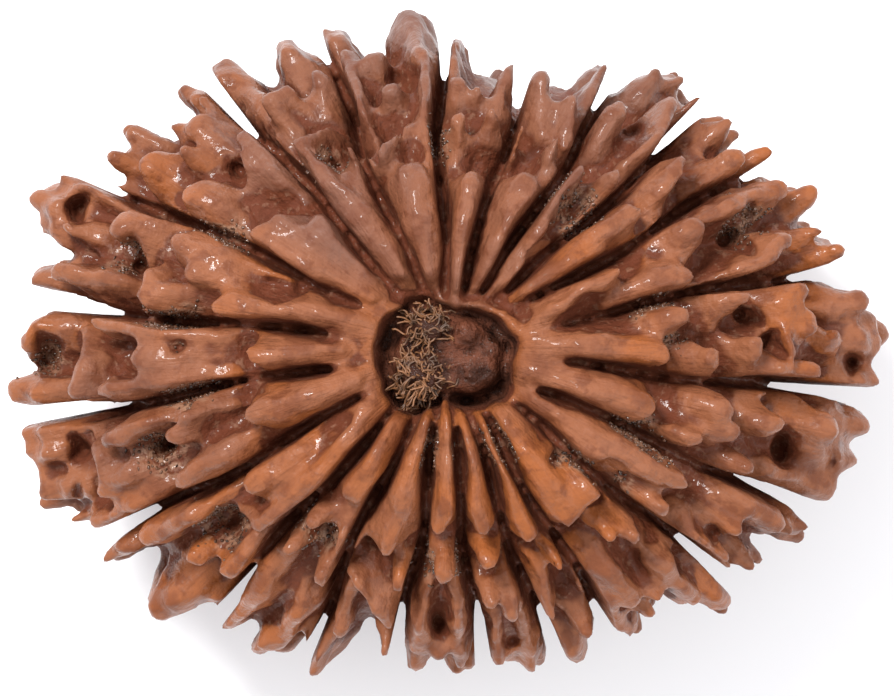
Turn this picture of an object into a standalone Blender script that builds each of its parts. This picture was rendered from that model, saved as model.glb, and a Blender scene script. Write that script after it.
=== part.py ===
"""Rudraksha bead: the ribbed, knobbly stone of a fruit, in one piece, standing on its lower pole.

The stone has 21 lobes that run from pole to pole with a narrow groove between neighbours. Each lobe
carries a smooth petal-like ridge beside the stalk hollow, then rows of blunt knobs out to the waist.
Every ridge is a row of points, each written as (bearing, reach, half-width):

    bearing     degrees round the polar axis, from +X towards +Y
    reach       how far out from the axis, as a share of the stone's half width at that bearing
    half-width  millimetres

The underside repeats the lobes with seeded changes. The stone stands with its lower crests cut flat
by the surface that it rests on, which is Z = 0, and its polar axis is the Z axis.
"""

import math
import random

import bmesh
import bpy
import numpy as np
from mathutils import Vector

MM = 0.001

# Driving dimensions, in millimetres.
HALF_LENGTH = 18.9
HALF_WIDTH = 14.3
HALF_HEIGHT = 14.0
REST_DEPTH = 12.0

# Levels are shares of the way from the stone's centre to the ellipsoid of those three half sizes.
CREST_LEVEL = 1.0
ROOT_LEVEL = 0.9
RIM_LEVEL = 0.87
CORE_LEVEL = 0.82
GROOVE_LEVEL = 0.73
FOOT_LEVEL = 0.72

# Across a ridge: the crest and the foot as shares of its half-width, and the shoulder's depth.
CREST_SPREAD = 0.75
FOOT_SPREAD = 2.1
SHOULDER_DEPTH = 0.9
TIP_RADIUS = 0.6
TIP_REACH = 0.8

# The low boss on the lower pole, which the stone rests on together with the crests round it.
BOSS_RISE = 0.05
BOSS_REACH = 0.1

# A ridge that reaches this far out goes on over the waist, down to this height in mm on each side.
WAIST_REACH = 0.9
WAIST_RISE = 3.4

# A groove between two lobes: half the width of its floor and the run of each wall, both to be shared out.
# From the petals out to the knobs the floor turns wider and the walls steeper. The share is the usual one, or
# a wider one out at the waist, and varies along the groove. A groove wobbles by so many radians. It starts
# beside the pole and deepens over its taper. The collar round each pole ends at the collar reach. Both
# reaches are given across the stone and along it.
GROOVE_FLOOR = 0.26
GROOVE_WALL = 1.4
KNOB_FLOOR = 0.46
KNOB_WALL = 0.4
KNOB_REACH = (0.5, 0.78)
GROOVE_UNEVENNESS = 0.22
COLLAR_REACH = (0.155, 0.225)
GROOVE_START = (0.06, 0.2)
GROOVE_TAPER = 0.12
GROOVE_WOBBLE = 0.018
USUAL_GAP = 0.5
MOUTH_REACH = (0.72, 0.86)
WIDE_MOUTHS = {192.8: 0.75, 351: 0.75, 171.6: 0.65, 217: 0.6}

# Crests above this level are worn down to this share of their rise over it, away from the waist.
WORN_LEVEL = 0.975
WORN_SHARE = 0.4

# How far a pit is from round.
PIT_UNEVENNESS = 0.2

# The broken hollow where the stalk sat: its corners as (bearing, radius in mm) round its middle, and the
# mounds on its floor as (x, y, radius, rise) in mm from its middle.
HOLLOW_CENTRE = (0.0, -0.25)
HOLLOW_DEPTH = 2.3
FLOOR_RISE = 1.0
HOLLOW_RIM = [
    (11, 3.2), (28, 2.8), (80, 1.95), (126, 2.9), (172, 3.1), (204, 3.0),
    (228, 3.3), (250, 2.7), (267, 2.0), (320, 3.2), (340, 3.1), (352, 2.85),
]
HOLLOW_MOUNDS = [(-1.35, -1.15, 1.4, 1.5), (-0.75, 1.2, 0.9, 1.5), (0.95, 1.05, 0.8, 1.4)]

FUSE_VOXEL = 0.28
SKIN_VOXEL = 0.27
SKIN_TRIANGLES = 11400
UNDERSIDE_SEED = 21

BROWN = (0.30, 0.13, 0.062, 1.0)

# Each lobe: the bearing of the groove on its clockwise side, its ridges, and its pits. A pit is
# (bearing, reach, radius, depth), with radius and depth in millimetres.
LOBES = [
    (351, [
        [(2, .18, .7), (1.5, .33, .95), (-2, .51, .75)],
        [(7, .42, .5), (10, .56, .7)],
        [(-7, .60, .6), (-2.5, .62, .6)],
        [(-6, .67, .55), (0.5, .72, .5)],
        [(7, .60, .6), (13, .70, .8)],
        [(-7, .72, .6), (-5, .85, .85)],
        [(5, .71, .5), (5, .85, .85)],
        [(12, .72, .6), (12, .84, .75)],
        [(-4, .80, .85), (4, .81, 1.0), (11, .82, .85)],
        [(11, .79, .8), (4, .78, .9), (-5, .79, .85)],
        [(-7, .88, .6), (-6, .99, .85)],
        [(-5, .88, .5), (3, .90, .5)],
        [(3, .90, .75), (1, 1.0, 1.0)],
        [(9, .88, .75), (8, .97, .85)],
        [(-5, .97, .75), (4, .99, .85)]],
     [(1, .735, .5, 2.0), (8, .70, .45, 1.6), (-2.5, .92, .4, 1.2), (4.5, .86, .4, .8)]),
    (16, [
        [(20, .22, .5), (27, .30, .55), (31.5, .47, .6)],
        [(22, .40, .6), (23, .60, .95)],
        [(32, .56, .6), (32, .69, 1.05)],
        [(18.5, .66, .45), (19.5, .76, .6), (23, .85, .7)],
        [(34, .66, .45), (33.5, .78, .6), (32.5, .91, .75)],
        [(18, .86, .6), (18.3, .95, .7)],
        [(28.5, .88, .75), (29, .96, .85)],
        [(22, .86, .5), (22.5, .93, .55)]],
     [(26.5, .74, .55, 1.8), (31, .80, .35, 1.0)]),
    (37, [
        [(44, .24, .45), (43.5, .40, .95), (44.5, .60, .95)],
        [(42, .61, .55), (44, .70, .8), (47, .80, .55)],
        [(40.5, .77, .6), (41, .90, .7)],
        [(45.5, .83, .5), (46.5, .95, .5)],
        [(39, .88, .45), (39, .95, .6)]],
     []),
    (50.5, [
        [(54, .25, .3), (59, .38, .5), (61.5, .50, .6), (61.5, .63, .6)],
        [(56.5, .60, .45), (54, .66, .5)],
        [(53.5, .68, .35), (52.8, .80, .55), (55.5, .91, .55)],
        [(60, .70, .5), (61.5, .84, .8)],
        [(58.5, .86, .6), (60, .97, .75)],
        [(52.3, .88, .5), (52.3, .95, .5)],
        [(56, .92, .35), (56.5, .98, .6)]],
     [(57.5, .79, .35, 1.2)]),
    (64.3, [
        [(67, .22, .45), (69, .36, .8), (70.2, .56, .9)],
        [(66.7, .55, .3), (68, .69, .35)],
        [(76, .60, .3), (76, .71, .35)],
        [(71, .68, .35), (75, .86, .5)],
        [(66.5, .68, .45), (69, .83, .55)],
        [(65.8, .74, .45), (67, .93, .5)]],
     []),
    (78, [
        [(84, .20, .6), (84, .36, .75), (84, .54, .8)],
        [(88, .56, .35), (88, .71, .6)],
        [(82, .64, .35), (81.5, .74, .45)],
        [(82, .68, .45), (80, .88, .55)],
        [(88, .70, .45), (88.5, .82, .45)],
        [(89, .76, .45), (89.5, .95, .5)],
        [(83, .74, .35), (84.5, .80, .45)]],
     []),
    (91.3, [
        [(99, .24, .45), (99, .40, 1.1), (98.5, .56, 1.1)],
        [(94, .50, .5), (94.3, .64, .5), (93.7, .78, .45), (93.5, .88, .5), (95, 1.03, .95)],
        [(95, .70, .5), (99.5, .66, .3), (104, .62, .3)],
        [(97, .76, .35), (99.5, .81, .45)],
        [(98, .86, .5), (101.5, .90, .5)],
        [(104.5, .62, .3), (105, .78, .45), (104.8, .93, .45)],
        [(106, .84, .45), (106.3, 1.01, .6)]],
     [(98.5, .84, .4, 1.0)]),
    (107.8, [
        [(115, .26, .45), (115.5, .45, .85), (118, .58, .75), (119.3, .72, .35)],
        [(110.3, .47, .35), (109.8, .65, .5)],
        [(111.5, .71, .35), (117, .72, .35)],
        [(111, .76, .45), (110, .90, .5)],
        [(113.5, .76, .45), (115, .88, .5)],
        [(112.5, .85, .5), (111.5, 1.01, .8)],
        [(119, .74, .5), (118.5, .87, .6)],
        [(119.8, .80, .6), (121.3, 1.01, .75)]],
     [(115, .62, .4, 1.2)]),
    (123.4, [
        [(130, .30, .6), (129.5, .50, 1.0)],
        [(134, .30, .75), (135, .56, .85)],
        [(138, .24, .6), (141, .40, 1.0), (141.5, .57, .95)],
        [(126.8, .57, .6), (127, .68, .85), (126.2, .81, .75)],
        [(140, .60, .6), (141, .70, 1.05), (141.5, .77, 1.0)],
        [(133, .64, .55), (130, .71, .5), (127.5, .77, .5)],
        [(131, .76, .75), (130, .91, .95)],
        [(127, .82, .6), (126.8, .94, .55)],
        [(134, .78, .5), (135.5, .86, .45)],
        [(140, .80, .75), (140.5, .91, .95)],
        [(127.8, .90, .55), (127.5, 1.0, .65)],
        [(132.5, .86, .35), (132.5, .93, .35)],
        [(138.5, .90, .5), (138, .98, .5)],
        [(142.5, .88, .5), (142.5, .97, .5)]],
     [(131.5, .74, .4, 1.2)]),
    (147.3, [
        [(158, .22, .6), (160, .34, .85), (165, .45, .8), (166, .55, .75)],
        [(152, .50, .75), (153.5, .60, 1.1), (152.5, .71, .8)],
        [(158, .50, .6), (158, .64, .85)],
        [(165, .58, .75), (166.5, .72, .8)],
        [(158, .69, .5), (163, .73, .45)],
        [(154, .74, .75), (153.5, .85, 1.15)],
        [(149.7, .84, .5), (149.5, .97, .7)],
        [(156.5, .88, .45), (157, .95, .5)],
        [(165, .76, .6), (165.5, .93, .75)],
        [(163, .87, .5), (168, .98, .75)],
        [(150.5, .98, .5), (150, 1.03, .45)],
        [(155, .97, .6), (154, 1.05, .75)],
        [(159, .90, .6), (158, 1.01, .7)]],
     [(158.5, .77, .6, 2.2), (153.5, .935, .5, 2.0), (151, .40, .5, 1.0)]),
    (171.6, [
        [(180, .24, .55), (182, .38, .75), (182.5, .46, .75)],
        [(176.8, .50, .6), (176, .65, .85), (174.8, .82, .6)],
        [(189, .50, .6), (189, .65, .75), (189.3, .81, .6)],
        [(182.5, .52, .85), (183, .725, 1.0)],
        [(176, .83, .35), (183, .83, .45), (188.8, .87, .5)],
        [(176, .86, .6), (176.5, .96, .75)],
        [(182, .94, .6), (179, .97, .6)],
        [(187.5, .86, .6), (187.8, 1.01, .8)]],
     [(179.5, .61, .35, .9), (180, .905, .6, 1.6)]),
    (192.8, [
        [(204, .22, .6), (205.5, .34, 1.0), (205, .51, .85)],
        [(199, .54, .6), (199, .65, .6)],
        [(211, .50, .6), (212, .62, .75), (213.3, .75, .55)],
        [(197.5, .62, .5), (197.5, .72, .6), (200, .84, .7)],
        [(206, .77, .6), (207, .83, .8), (209, .92, .6)],
        [(212.8, .74, .5), (213.5, .86, .5), (213, .97, .5)],
        [(202, .62, .5), (203, .69, .55)],
        [(195.2, .86, .5), (195.5, 1.01, .6)],
        [(197, .94, .5), (198, 1.01, .6)],
        [(204.5, .92, .55), (205.5, 1.03, .75)],
        [(210.5, .93, .5), (211.5, 1.01, .6)],
        [(197, .99, .5), (206, 1.02, .5)],
        [(196.5, .85, .45), (203, .86, .45), (207, .90, .45)]],
     [(204, .72, .5, 1.9), (208.5, .69, .4, 1.3), (200, .89, .45, 1.6), (207.5, .94, .35, 1.2)]),
    (217, [
        [(222, .24, .5), (230, .36, .7), (232.3, .50, .75), (232.3, .66, .7)],
        [(223.5, .38, .6), (223, .52, .85), (223, .63, .75)],
        [(221.5, .64, .5), (220.5, .78, .55), (220, .91, .55)],
        [(226, .66, .5), (231, .70, .5)],
        [(232, .68, .55), (233, .78, .75), (233.5, .86, .6)],
        [(228.5, .80, .5), (228, .88, .5)],
        [(226.5, .86, .85), (228.5, .96, 1.2), (230, 1.05, 1.0)],
        [(219, .90, .5), (219, 1.02, .6)]],
     [(226, .73, .5, 1.5), (224.5, .80, .35, 1.0)]),
    (236.3, [
        [(241, .26, .5), (243.5, .40, .95), (244, .52, 1.0)],
        [(242, .52, .6), (239.8, .63, .5)],
        [(246.5, .50, .6), (248, .62, .5), (248.8, .70, .35)],
        [(239, .62, .35), (239.3, .73, .45)],
        [(239, .72, .6), (240, .86, .8), (238.5, 1.01, .7)],
        [(246, .64, .5), (247.8, .77, .6)],
        [(245, .78, .6), (247, .88, .75), (246, 1.0, .55)],
        [(242.5, .88, .5), (244.5, 1.03, .5)]],
     []),
    (250.3, [
        [(258.5, .20, .55), (258, .36, .85), (258, .50, .95), (256.5, .64, .75)],
        [(260.5, .62, .5), (261, .74, .5)],
        [(252, .69, .35), (254, .74, .45), (257.5, .79, .45), (261, .87, .45)],
        [(253.3, .74, .5), (253.8, .91, .6)],
        [(252.4, .88, .5), (252.6, 1.04, .6)],
        [(260, .86, .45), (261, .94, .45)]],
     [(257, .83, .4, 1.3)]),
    (263.6, [
        [(269.5, .22, .5), (270.5, .36, .55), (270, .48, .75), (268, .57, .6)],
        [(269, .58, .75), (269.3, .71, .75)],
        [(266.5, .70, .45), (266, .84, .5), (266, .98, .6)],
        [(271.3, .70, .5), (271.6, .84, .5), (271.8, .98, .55)],
        [(269, .88, .35), (269, .94, .35)]],
     [(268.8, .84, .35, 1.2)]),
    (274.2, [
        [(279.5, .24, .35), (278, .36, .55), (278.5, .48, .75), (279.5, .58, .6)],
        [(278, .58, .45), (278.5, .68, .5)],
        [(277, .70, .45), (277.2, .80, .5)],
        [(281, .70, .45), (280.5, .84, .5)],
        [(277.5, .80, .55), (277.2, .97, .6)],
        [(281.8, .78, .5), (281.6, 1.01, .6)]],
     [(279.5, .90, .3, .8)]),
    (284.2, [
        [(290, .24, .45), (288.5, .40, .8), (288.5, .61, .85)],
        [(291, .62, .45), (291, .73, .5)],
        [(287.5, .67, .5), (286.5, .87, .6)],
        [(287.8, .87, .6), (287.8, 1.0, .75)],
        [(290.5, .87, .5), (290.6, .94, .5)]],
     []),
    (293.3, [
        [(303, .24, .6), (300, .38, 1.0), (300, .50, 1.2), (299, .61, .75)],
        [(306, .42, .6), (307, .57, .75)],
        [(303.5, .58, .45), (303.5, .69, .5)],
        [(307.5, .60, .5), (307, .73, .55)],
        [(299.5, .67, .7), (299, .78, .85), (299, .89, .7)],
        [(307, .74, .5), (307, .85, .7), (306.5, .96, .55)],
        [(295.4, .74, .5), (295.6, .85, .55), (295.6, .97, .6)],
        [(300.5, .86, .45), (300, .94, .5)],
        [(303, .84, .35), (302.5, .91, .35)],
        [(308.5, .90, .6), (308.8, 1.01, .8)]],
     [(309, .42, .4, 1.0)]),
    (312, [
        [(321, .26, .5), (321.5, .40, .75), (321, .55, .85), (323, .69, .6)],
        [(317, .34, .35), (316, .50, .5)],
        [(316.5, .58, .55), (315.3, .71, .6)],
        [(317.5, .72, .45), (314.8, .80, .5), (315, .91, .55)],
        [(320, .74, .45), (320, .88, .5)],
        [(324, .76, .55), (325.3, .85, .85), (325, .93, .75)],
        [(316.5, .90, .5), (316.5, .98, .6)],
        [(326.3, .90, .6), (326.3, .99, .6)],
        [(313.8, .84, .35), (313.8, .94, .45)]],
     [(317.3, .82, .4, 1.1)]),
    (329.3, [
        [(340, .20, .6), (338.5, .34, .95), (339, .51, .95)],
        [(333.5, .52, .5), (334, .65, .75)],
        [(339.5, .58, .85), (338, .72, .75)],
        [(343.5, .57, .75), (343.5, .68, .75)],
        [(332, .70, .5), (332.5, .79, .55)],
        [(342.5, .70, .6), (343, .81, .8)],
        [(333.5, .82, .75), (334, .99, .95)],
        [(345.3, .82, .75), (346, 1.0, 1.0)],
        [(339.5, .88, .6), (339.5, 1.0, .85)],
        [(334, .92, .75), (344.5, .93, .85)]],
     [(338.5, .83, .55, 1.8), (338.5, .935, .3, .9), (343, .97, .3, .9)]),
]


def half_width_at(bearing):
    """The stone's half width at a bearing in degrees, seen down the polar axis."""
    turn = math.radians(bearing)
    return math.hypot(HALF_LENGTH * math.cos(turn), HALF_WIDTH * math.sin(turn))


def place(bearing, reach, level, side):
    """The point at a bearing, reach and level, above the waist for side 1 and below it for side -1."""
    turn = math.radians(bearing)
    rise = math.sqrt(max(level**2 - reach**2, 0.015))
    return Vector((
        HALF_LENGTH * reach * math.cos(turn),
        HALF_WIDTH * reach * math.sin(turn),
        HALF_HEIGHT * rise * side,
    ))


def ball_points():
    """The corners of a small round ball of radius 1, which every ridge is stretched over."""
    ball = bmesh.new()
    bmesh.ops.create_icosphere(ball, subdivisions=2, radius=1.0)
    corners = [vertex.co.copy() for vertex in ball.verts]
    ball.free()
    return corners


def add_hull(body, balls, corners):
    """Adds to body the convex skin round some balls, each (centre, radius)."""
    hull = bmesh.new()
    for centre, radius in balls:
        for corner in corners:
            hull.verts.new(centre + corner * radius)
    found = bmesh.ops.convex_hull(hull, input=hull.verts)
    inside = {item for item in found["geom_interior"] if isinstance(item, bmesh.types.BMVert)}
    bmesh.ops.delete(hull, geom=list(inside), context="VERTS")
    skin = bpy.data.meshes.new("hull")
    hull.to_mesh(skin)
    hull.free()
    body.from_mesh(skin)
    bpy.data.meshes.remove(skin)


def section(top, radius):
    """The balls that make a ridge's cross-section below a point of its crest: crest, shoulder and foot."""
    inward = top / -top.length
    crest = top + inward * (radius * CREST_SPREAD)
    shoulder = top + inward * (radius * (1 + SHOULDER_DEPTH))
    foot = top * FOOT_LEVEL
    return [(crest, radius * CREST_SPREAD), (shoulder, radius), (foot, radius * FOOT_SPREAD)]


def add_ridge(body, ridge, side, corners):
    """Adds one ridge: it rises from root to tip, and stands on a foot inside the core all its way."""
    last = len(ridge) - 1
    balls = []
    for index, (bearing, reach, radius) in enumerate(ridge):
        if index == last and reach > TIP_REACH:
            radius = max(radius, TIP_RADIUS)
        share = math.sqrt(index / last)
        across = half_width_at(bearing)
        crest = ROOT_LEVEL + (CREST_LEVEL - ROOT_LEVEL) * share
        centre_reach = reach - radius * CREST_SPREAD / across * (1 - reach) * (index == last)
        top = place(bearing, centre_reach, crest, side)
        balls.append(section(top, radius))
    for first, second in zip(balls, balls[1:]):
        add_hull(body, first + second, corners)


def add_waist_knobs(body, ridge, draw, corners):
    """Carries one outer ridge over the waist as two blunt knobs, one above the other."""
    bearing, reach, radius = ridge[-1]
    split = draw.uniform(-0.8, 0.8)
    for low, high in ((split + 0.35, WAIST_RISE), (-WAIST_RISE, split - 0.35)):
        turn = math.radians(bearing + draw.uniform(-1.2, 1.2))
        girth = radius * draw.uniform(0.95, 1.25)
        crest = reach - draw.uniform(0.0, 0.035)
        balls = []
        for height in (low + 0.5 * girth, high - 0.5 * girth):
            out = crest * math.sqrt(1 - (height / HALF_HEIGHT)**2)
            top = Vector((HALF_LENGTH * out * math.cos(turn), HALF_WIDTH * out * math.sin(turn), height))
            balls += section(top, girth)
        add_hull(body, balls, corners)


def changed_ridge(ridge, draw):
    """The same ridge as it grew on the underside, a little moved, turned and resized."""
    turn = draw.uniform(-1.8, 1.8)
    slide = draw.uniform(-0.03, 0.02)
    stretch = draw.uniform(0.88, 1.15)
    return [(bearing + turn, reach + slide, radius * stretch) for bearing, reach, radius in ridge]


def groove_offset(bearing, reach):
    """Arrays of points' distances in mm from the nearest groove, in terms of the widest groove."""
    nearest = np.full(bearing.shape, np.inf)
    pace = reach * np.hypot(HALF_LENGTH * np.sin(bearing), HALF_WIDTH * np.cos(bearing))
    for groove, _, _ in LOBES:
        turn = (bearing - math.radians(groove) + math.pi) % (2 * math.pi) - math.pi
        turn += GROOVE_WOBBLE * np.sin(11 * reach + 5 * groove)
        gap = USUAL_GAP + (WIDE_MOUTHS.get(groove, USUAL_GAP) - USUAL_GAP) * smooth_step(*MOUTH_REACH, reach)
        gap *= 1 + GROOVE_UNEVENNESS * np.sin(23 * reach + 3 * groove)
        nearest = np.minimum(nearest, np.abs(turn) * pace / gap)
    return nearest


def measure(points):
    """Bearings in radians, reaches and levels of an array of points in mm."""
    across = points[:, 0] / HALF_LENGTH
    along = points[:, 1] / HALF_WIDTH
    reach = np.hypot(across, along)
    return np.arctan2(along, across), reach, np.hypot(reach, points[:, 2] / HALF_HEIGHT)


def smooth_step(low, high, values):
    share = np.clip((values - low) / (high - low), 0, 1)
    return share * share * (3 - 2 * share)


def across_or_along(reaches, bearing):
    """A reach given across the stone and along it, for an array of bearings in radians."""
    across, along = reaches
    return across + (along - across) * np.cos(bearing)**2


def add_core(body):
    """Adds the plain body of the stone, fluted so that it is lowest along the grooves."""
    core = bmesh.new()
    bmesh.ops.create_uvsphere(core, u_segments=252, v_segments=96, radius=1.0)
    size = Vector((HALF_LENGTH, HALF_WIDTH, HALF_HEIGHT))
    points = np.array([vertex.co * size for vertex in core.verts])
    bearing, reach, _ = measure(points)
    flute = smooth_step(0.0, 2.6, groove_offset(bearing, reach))
    level = GROOVE_LEVEL + (CORE_LEVEL - GROOVE_LEVEL) * np.maximum(flute, reach < 0.1)
    out = smooth_step(-0.01, 0.05, reach - across_or_along(COLLAR_REACH, bearing))
    level = np.maximum(level, RIM_LEVEL + (GROOVE_LEVEL - RIM_LEVEL) * out)
    level += BOSS_RISE * np.exp(-(reach / BOSS_REACH)**2) * (points[:, 2] < 0)
    for vertex, point, share in zip(core.verts, points, level):
        vertex.co = Vector(point * share)
    skin = bpy.data.meshes.new("core")
    core.to_mesh(skin)
    core.free()
    body.from_mesh(skin)
    bpy.data.meshes.remove(skin)


def wear_crests(points):
    """Rubs the crests flat on top, towards both poles."""
    _, _, level = measure(points)
    share = smooth_step(0.3, 0.6, np.abs(points[:, 2]) / HALF_HEIGHT)
    worn = np.maximum(level - WORN_LEVEL, 0) * (1 - WORN_SHARE) * share
    points *= (1 - worn / level)[:, None]


def carve_grooves(points):
    """Presses the points over a groove down to its floor, out of the rim round each pole."""
    bearing, reach, level = measure(points)
    steep = smooth_step(*KNOB_REACH, reach)
    floor = GROOVE_FLOOR + (KNOB_FLOOR - GROOVE_FLOOR) * steep
    run = GROOVE_WALL + (KNOB_WALL - GROOVE_WALL) * steep
    wall = np.maximum(groove_offset(bearing, reach) - floor, 0) / run
    cap = CREST_LEVEL - (CREST_LEVEL - GROOVE_LEVEL) * (1 - np.minimum(wall, 1))**4
    cap += 0.2 * np.maximum(wall - 1, 0)
    cap += 0.3 * (1 - smooth_step(0, GROOVE_TAPER, reach - across_or_along(GROOVE_START, bearing)))
    points *= np.minimum(1, cap / level)[:, None]


def carve_pits(points):
    """Presses in the pits between the upper side's knobs, inwards by the pole and more downwards from it."""
    for _, _, pits in LOBES:
        for bearing, reach, radius, depth in pits:
            mouth = np.array(place(bearing, reach, CREST_LEVEL - 0.04, 1))
            inward = -mouth / np.linalg.norm(mouth) * (1 - reach) + np.array([0, 0, -reach])
            inward /= np.linalg.norm(inward)
            offset = points - mouth
            along = offset @ inward
            aside = np.linalg.norm(offset - along[:, None] * inward, axis=1)
            turned = np.arctan2(offset[:, 1], offset[:, 0])
            aside *= 1 + PIT_UNEVENNESS * (np.sin(2 * turned + 9 * reach) + np.sin(3 * turned + bearing))
            push = depth * (1 - smooth_step(0.25 * radius, 1.35 * radius, aside))
            points += inward * (push * (along < depth + 1))[:, None]


def carve_hollow(points):
    """Sinks the stalk hollow into the upper pole, with mounds of dry pith on its floor."""
    x = points[:, 0] - HOLLOW_CENTRE[0]
    y = points[:, 1] - HOLLOW_CENTRE[1]
    bearings, radii = zip(*HOLLOW_RIM)
    share = np.hypot(x, y) / np.interp(np.degrees(np.arctan2(y, x)), bearings, radii, period=360)
    rise = np.zeros(len(points))
    for mound_x, mound_y, radius, height in HOLLOW_MOUNDS:
        apart = np.hypot(x - mound_x, y - mound_y) / radius
        rise = np.maximum(rise, height * np.clip(1.5 - 1.5 * apart**3, 0, 1))
    rise = np.maximum(rise, FLOOR_RISE) * (1 - smooth_step(0.62, 0.84, share))
    points[:, 2] -= (HOLLOW_DEPTH - rise) * (1 - smooth_step(0.85, 1.02, share)) * (points[:, 2] > 0)


def add_remesh(bead, voxel):
    """Gives the bead one even skin round all that it is made of."""
    remesh = bead.modifiers.new("one skin", "REMESH")
    remesh.mode = "VOXEL"
    remesh.voxel_size = voxel * MM


def apply_modifiers(bead):
    """Makes the bead's evaluated mesh its own mesh."""
    graph = bpy.context.evaluated_depsgraph_get()
    fused = bpy.data.meshes.new_from_object(bead.evaluated_get(graph))
    bead.modifiers.clear()
    bead.data = fused


def build_bead(collection):
    """The whole stone, standing on Z = 0 with its polar axis on the Z axis."""
    draw = random.Random(UNDERSIDE_SEED)
    corners = ball_points()
    body = bmesh.new()
    add_core(body)
    for _, ridges, _ in LOBES:
        for ridge in ridges:
            add_ridge(body, ridge, 1, corners)
            add_ridge(body, changed_ridge(ridge, draw), -1, corners)
            if ridge[-1][1] > WAIST_REACH:
                add_waist_knobs(body, ridge, draw, corners)
    bmesh.ops.scale(body, vec=Vector((MM, MM, MM)), verts=body.verts)
    mesh = bpy.data.meshes.new("rudraksha_bead")
    body.to_mesh(mesh)
    body.free()
    bead = bpy.data.objects.new("rudraksha_bead", mesh)
    collection.objects.link(bead)
    add_remesh(bead, FUSE_VOXEL)
    apply_modifiers(bead)

    points = np.empty(len(bead.data.vertices) * 3)
    bead.data.vertices.foreach_get("co", points)
    points = points.reshape(-1, 3) / MM
    wear_crests(points)
    carve_grooves(points)
    carve_pits(points)
    carve_hollow(points)
    points[:, 2] += REST_DEPTH
    bead.data.vertices.foreach_set("co", (points * MM).ravel())
    bead.data.update()
    return bead


def add_finish(bead, table):
    """Softens the skin, brings it down to few triangles and flattens the crests it rests on."""
    add_remesh(bead, SKIN_VOXEL)
    soften = bead.modifiers.new("soften", "SMOOTH")
    soften.factor = 0.5
    soften.iterations = 10
    apply_modifiers(bead)
    bead.data.calc_loop_triangles()
    facets = bead.modifiers.new("few facets", "DECIMATE")
    facets.ratio = SKIN_TRIANGLES / len(bead.data.loop_triangles)
    rest = bead.modifiers.new("rest", "BOOLEAN")
    rest.operation = "DIFFERENCE"
    rest.object = table


def make_table(collection):
    """The cutter: the surface that the bead rests on, whose top is Z = 0."""
    depth = 10 * MM
    bpy.ops.mesh.primitive_cube_add(size=1.0, location=(0, 0, -depth / 2))
    table = bpy.context.active_object
    table.name = "table_cutter"
    table.scale = (4 * HALF_LENGTH * MM, 4 * HALF_LENGTH * MM, depth)
    table.hide_render = True
    table.display_type = "WIRE"
    for owner in list(table.users_collection):
        owner.objects.unlink(table)
    collection.objects.link(table)
    return table


def make_material():
    material = bpy.data.materials.new("oiled_brown_shell")
    material.use_nodes = True
    shader = material.node_tree.nodes["Principled BSDF"]
    shader.inputs["Base Color"].default_value = BROWN
    shader.inputs["Roughness"].default_value = 0.42
    shader.inputs["Metallic"].default_value = 0.0
    return material


def new_collection(name):
    collection = bpy.data.collections.new(name)
    bpy.context.scene.collection.children.link(collection)
    return collection


def main():
    for stale in list(bpy.data.objects):
        bpy.data.objects.remove(stale)
    parts = new_collection("rudraksha_bead")
    cutters = new_collection("cutters")
    bead = build_bead(parts)
    add_finish(bead, make_table(cutters))
    bead.data.materials.clear()
    bead.data.materials.append(make_material())


main()
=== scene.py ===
"""Dresses a packed rudraksha bead: the oiled stone, the dry pith of its stalk scar and the pulp in its grooves.

The stone has 21 lobes that run from pole to pole with a narrow groove between neighbours. Each lobe
carries a smooth petal-like ridge beside the stalk hollow, then rows of blunt knobs out to the waist.
Every ridge is a row of points, each written as (bearing, reach, half-width):

    bearing     degrees round the polar axis, from +X towards +Y
    reach       how far out from the axis, as a share of the stone's half width at that bearing
    half-width  millimetres
"""

import math
import random
from functools import partial

import bmesh
import bpy
import numpy as np
from bpy.props import FloatProperty, FloatVectorProperty, IntProperty, PointerProperty
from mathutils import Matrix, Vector, noise


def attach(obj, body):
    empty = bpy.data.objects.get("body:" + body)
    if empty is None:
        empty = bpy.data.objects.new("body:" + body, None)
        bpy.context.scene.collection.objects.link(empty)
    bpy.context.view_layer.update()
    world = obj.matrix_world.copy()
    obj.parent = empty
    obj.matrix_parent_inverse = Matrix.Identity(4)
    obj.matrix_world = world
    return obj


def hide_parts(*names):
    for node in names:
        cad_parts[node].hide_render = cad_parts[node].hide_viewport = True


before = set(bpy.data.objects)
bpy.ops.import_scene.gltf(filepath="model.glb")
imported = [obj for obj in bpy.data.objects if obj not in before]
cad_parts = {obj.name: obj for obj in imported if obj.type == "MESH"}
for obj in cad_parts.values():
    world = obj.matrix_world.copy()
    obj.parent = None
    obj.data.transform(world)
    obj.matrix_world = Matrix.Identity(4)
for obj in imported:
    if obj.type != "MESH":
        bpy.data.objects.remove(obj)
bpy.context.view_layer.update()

bl_info = {
    "name": "Rudraksha Bead Looks",
    "version": (1, 0, 0),
    "blender": (4, 5, 0),
    "location": "View3D > Sidebar > Bead",
    "description": "Builds the visible surfaces of a rudraksha bead round its packed solid",
    "category": "Object",
}

MM = 0.001
NODE = "rudraksha_bead"
STONE = "rudraksha_stone"
BODY = "root"

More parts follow.
